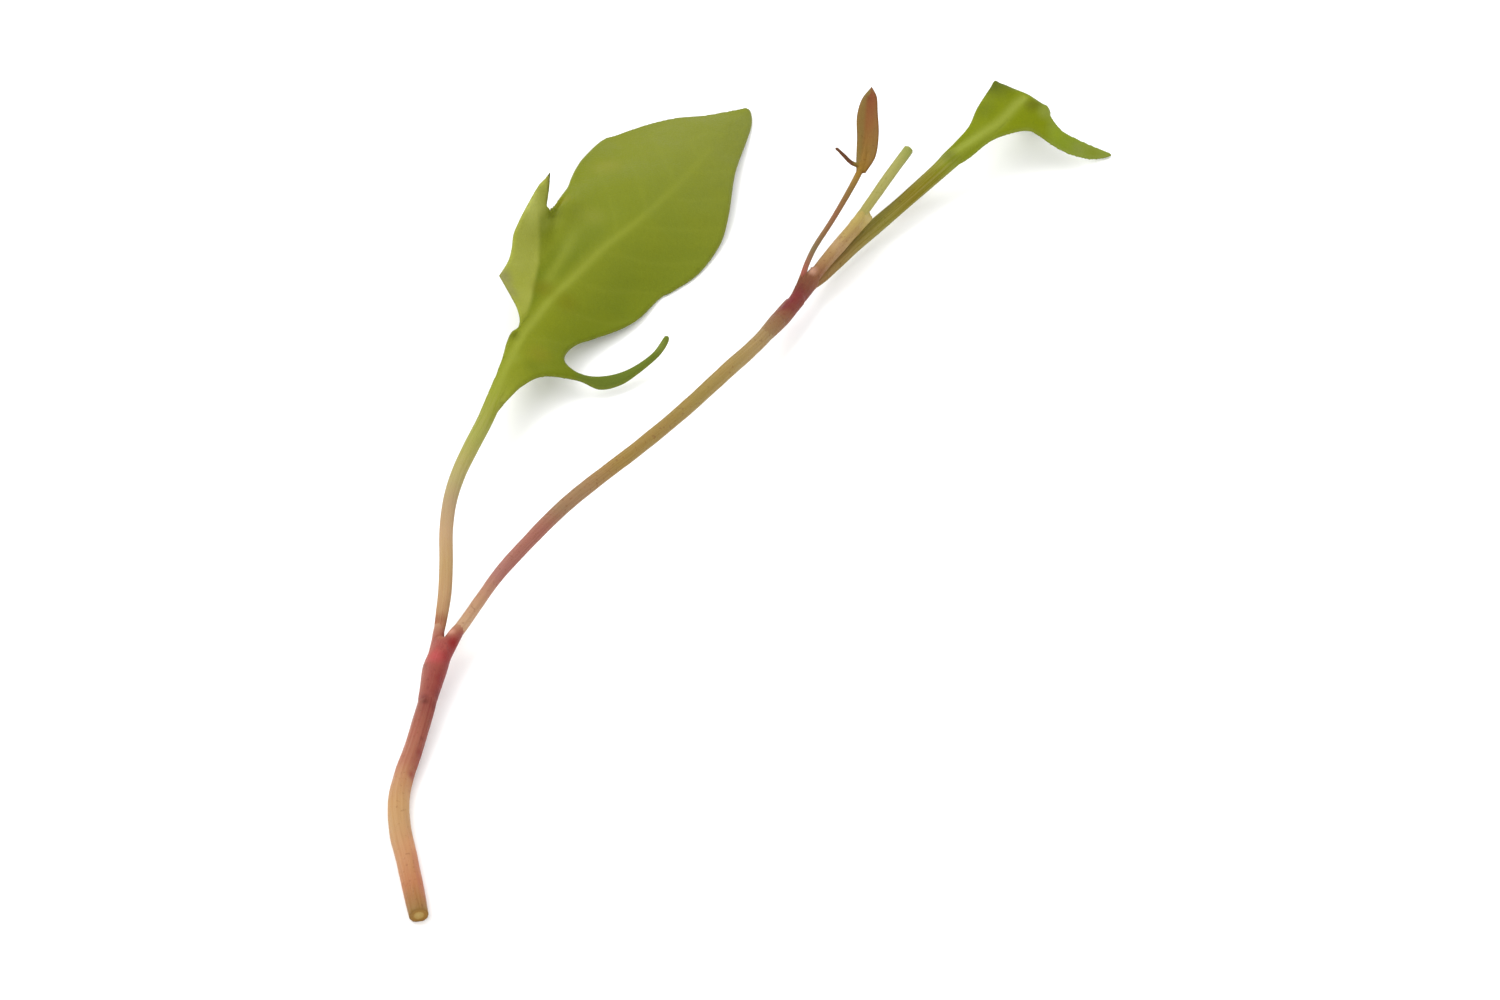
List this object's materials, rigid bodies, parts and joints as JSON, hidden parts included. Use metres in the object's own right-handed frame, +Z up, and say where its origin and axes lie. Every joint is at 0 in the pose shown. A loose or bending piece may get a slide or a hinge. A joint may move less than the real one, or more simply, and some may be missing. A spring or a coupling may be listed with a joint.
{
  "type": "field sorrel microgreen shoot",
  "caption": "Cut forked shoot of field sorrel microgreens lying down: stem with sheathed nodes, hastate leaf, folded leaf, young leaf and cut petiole.",
  "frame": {"origin": "on the surface that the shoot lies on, under the middle of its bounding box", "axes": "+Z up from that surface, +Y from the cut end of the stem towards the leaves' tips, +X to the right of it"},
  "size_m": [0.0419, 0.066, 0.0051],
  "materials": {
    "stem": "matte fibrous skin, tan with red stretches",
    "red_sheath": "papery red sheath",
    "green_leaf": "soft satin leaf skin",
    "brown_leaf": "soft satin young leaf skin",
    "pale_petiole": "matte pale green skin"
  },
  "bodies": {
    "root": {"main_stem": "stem", "lower_ochrea": "red_sheath", "large_leaf": "green_leaf", "upper_ochrea": "red_sheath", "small_leaf": "brown_leaf", "cut_petiole": "pale_petiole", "folded_leaf": "green_leaf"}
  },
  "joints": []
}
